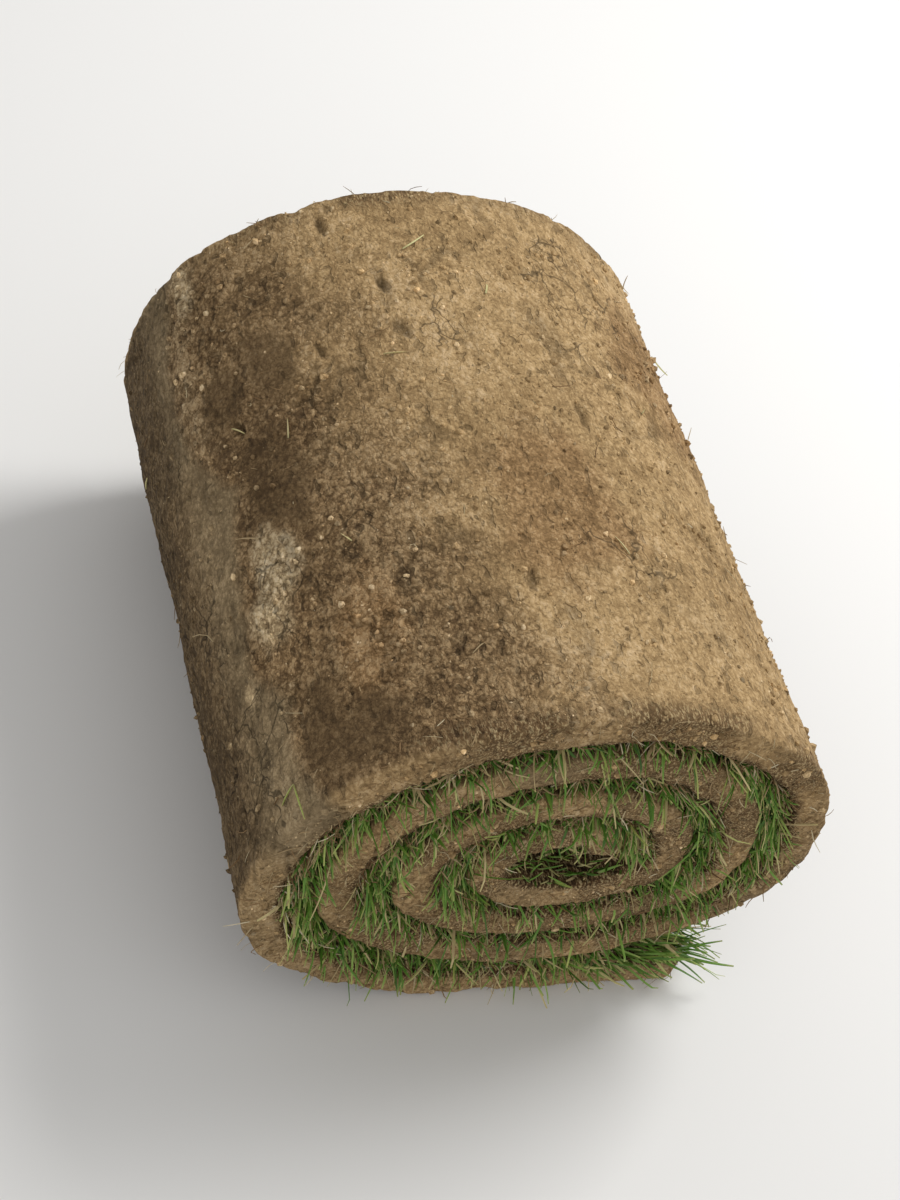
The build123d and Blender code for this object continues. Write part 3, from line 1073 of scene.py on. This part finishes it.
def hull_triangles(points, reach):
    """Outward triangles between points of a regular body whose edges are shorter than a reach."""
    near = np.linalg.norm(points[:, None] - points[None], axis=-1) < reach
    triangles = []
    for a, b, c in itertools.combinations(range(len(points)), 3):
        if near[a, b] and near[b, c] and near[a, c]:
            out = np.dot(np.cross(points[b] - points[a], points[c] - points[a]), points[a]) > 0
            triangles.append([a, b, c] if out else [a, c, b])
    return np.array(triangles)


def lump_form():
    """Points and triangles of a 20-sided lump."""
    points = []
    for a, b in itertools.product((-1, 1), (-GOLDEN, GOLDEN)):
        points += [(0, a, b), (a, b, 0), (b, 0, a)]
    points = np.array(points, float)
    return points / np.linalg.norm(points[0]), hull_triangles(points, 2.1)


def grit_form():
    """Points and triangles of an 8-sided grain."""
    points = np.concatenate([np.eye(3), -np.eye(3)])
    return points, hull_triangles(points, 1.5)


def crumbs(name, form, form_triangles, count, smallest, largest):
    """Loose crumbs and small clods sitting in the soil's surface."""
    s, y, depth, ny, nd = scatter(count * 2, 0.30)
    q = np.stack([s, y, depth], -1)
    clay = ramp(clay_edge(y) - s, -0.004, 0.012) * (ny == 0)
    dark_patch = patches(DARK_PATCHES, s, y) * (ny == 0)
    likely = (0.25 + ramp(noise(q / 0.04, 33.0), -0.2, 0.6)) * (1 - 0.8 * np.maximum(clay, dark_patch))
    order = np.argsort(rng.random(len(s)) - likely)[:count]
    centre, _, values = surface_points(*(v[order] for v in (s, y, depth, ny, nd)))
    corners = len(form)
    radius = smallest + (largest - smallest) * rng.random(count) ** 2.4
    scale = radius[:, None] * rng.uniform(0.7, 1.3, (count, 3))
    turned, _ = np.linalg.qr(rng.normal(size=(count, 3, 3)))
    shaped = form[None] * (1 + 0.16 * np.clip(rng.normal(size=(count, corners, 1)), -2, 2))
    points = np.einsum("nij,nkj->nki", turned, shaped * scale[:, None]) + centre[:, None]
    triangles = form_triangles[None] + (np.arange(count) * corners)[:, None, None]
    flip = np.linalg.det(turned) < 0
    triangles[flip] = triangles[flip][..., ::-1]
    values["crack"] = np.zeros(count)
    values["thatch"] = np.zeros(count)
    values["speck_and_painted_shade"] = np.clip(values["speck_and_painted_shade"] + rng.normal(0.08, 0.26, count), -0.5, 0.8)
    values["dry"] = np.clip(values["dry"] + rng.random(count) ** 3 * 0.8, 0, 1)
    values = {key: np.repeat(value, corners) for key, value in values.items()}
    points = points.reshape(-1, 3)
    points[:, 2] = np.maximum(points[:, 2], 0.0)
    piece(name, points, triangles.reshape(-1, 3), crumb_material, "soil", False, **values)


def roots(name, count):
    """Fine pale roots and bits of straw lying on the soil and hanging from the cut ends."""
    s, y, depth, ny, nd = scatter(count, 0.82)
    surface, normal, _ = surface_points(s, y, depth, ny, nd)
    way = unit(rng.normal(size=(count, 3)))
    way = way - normal * (way * normal).sum(-1, keepdims=True) * 0.85
    hang = np.where(ny[:, None] != 0, (0, 0, -0.7), 0)
    bend = 0.8 * rng.normal(size=(count, 3)) + hang - 0.6 * normal
    length = rng.uniform(0.005, 0.017, count)
    width = rng.uniform(0.00030, 0.00075, count)
    tint = np.clip(rng.normal(0.52, 0.22, count), 0, 1)
    root, way = surface + normal * 0.0003, way + 0.10 * normal
    strands(name, fibre_material, "soil", root, way, bend, length, width, tint, 4, held_in, 0.9)


def straws(name):
    """The larger straws and stray blades that lie on the soil face."""
    s, y, along_way, across_way, length, tint = np.array(STRAWS).T
    zero = np.zeros(len(s))
    surface, normal, _ = surface_points(s, y, zero, zero, zero - 1)
    along, _ = strip_ways(s)
    way = along * along_way[:, None] + np.array([0, 1.0, 0]) * across_way[:, None] + 0.12 * normal
    bend = 0.25 * rng.normal(size=(len(s), 3)) - 0.35 * normal
    root = surface + 0.0009 * normal
    width = np.full(len(s), 0.0015)
    strands(name, grass_material, "grass", root, way, bend, length, width, tint, 6, held_in, 0.5)


end_grass("grass_front", end=-1, count=4200)
end_grass("grass_back", end=1, count=4200)
stems("stems_front", end=-1, count=2600)
stems("stems_back", end=1, count=2600)
tail_grass("grass_outer_end", count=3300)
eye_grass("grass_eye", count=1300)
crumbs("clods", *lump_form(), count=3600, smallest=0.0007, largest=0.0026)
crumbs("grit", *grit_form(), count=7000, smallest=0.0004, largest=0.0011)
roots("roots", count=1900)
straws("straws")


# Floor, light and camera

FLOOR_HALF = 8.0
FLOOR_COLOUR = (0.80, 0.79, 0.77)
LIGHT_COLOUR = (1.0, 1.0, 1.0)
BACKGROUND_COLOUR = (0.86, 0.86, 0.85)
LIGHT_TARGET = (0, 0, 0.12)


def stage_plane():
    """The plain pale floor."""
    f = Finish("floor", 0.95, 0.1)
    f.colour(FLOOR_COLOUR)
    mesh = bpy.data.meshes.new("floor")
    corners = [(x * FLOOR_HALF, y * FLOOR_HALF, 0) for x, y in ((-1, -1), (1, -1), (1, 1), (-1, 1))]
    mesh.from_pydata(corners, [], [(0, 1, 2, 3)])
    mesh.materials.append(f.material)
    placed("floor", mesh)


def aimed(place, target, lean=0.0):
    """Turns -Z from a place to a target, with Y up, leaned sideways by an angle in degrees."""
    forward = (Vector(target) - Vector(place)).normalized()
    turn = forward.to_track_quat("-Z", "Y").to_matrix().to_4x4()
    return Matrix.Translation(place) @ turn @ Matrix.Rotation(math.radians(lean), 4, "Z")


def area_light(name, place, size, energy):
    """A soft square lamp that shines on the roll."""
    lamp = bpy.data.lights.new(name, "AREA")
    lamp.shape = "SQUARE"
    lamp.size = size
    lamp.energy = energy
    placed(name, lamp).matrix_world = aimed(place, LIGHT_TARGET)


def surroundings(strength):
    """Soft light from all round, seen by the camera and in gloss and glass as a pale background."""
    world = bpy.data.worlds.new("studio")
    world.use_nodes = True
    world.node_tree.nodes.clear()
    tree = Tree(world.node_tree)
    rays = tree.node("LightPath").node.outputs
    seen = tree.most(rays["Is Camera Ray"], rays["Is Glossy Ray"])
    seen = tree.most(seen, rays["Is Transmission Ray"])
    light = tree.node("Background", Color=LIGHT_COLOUR, Strength=strength)
    shown = tree.node("Background", Color=BACKGROUND_COLOUR)
    out = world.node_tree.nodes.new("ShaderNodeOutputWorld")
    tree.put(out.inputs["Surface"], tree.node("MixShader", _0=seen, _1=light, _2=shown))
    bpy.context.scene.world = world


def stage_camera(place, target, lean, lens):
    """The camera, which leans so that the roll leans as in the photo."""
    camera = bpy.data.cameras.new("camera")
    camera.sensor_fit = "HORIZONTAL"
    camera.sensor_width = 36.0
    camera.lens = lens
    camera.clip_end = 50.0
    holder = placed("camera", camera)
    holder.matrix_world = aimed(place, target, lean)
    bpy.context.scene.camera = holder


stage_plane()
surroundings(strength=0.55)
area_light("key", (1.5, 0.7, 2.1), size=1.1, energy=48.0)
area_light("fill", (-1.6, -1.9, 1.2), size=1.8, energy=10.0)
stage_camera((-0.621, -0.924, 1.260), (0.0, 0.0, 0.135), lean=26.0, lens=92.0)
bpy.context.scene.view_settings.view_transform = "Standard"
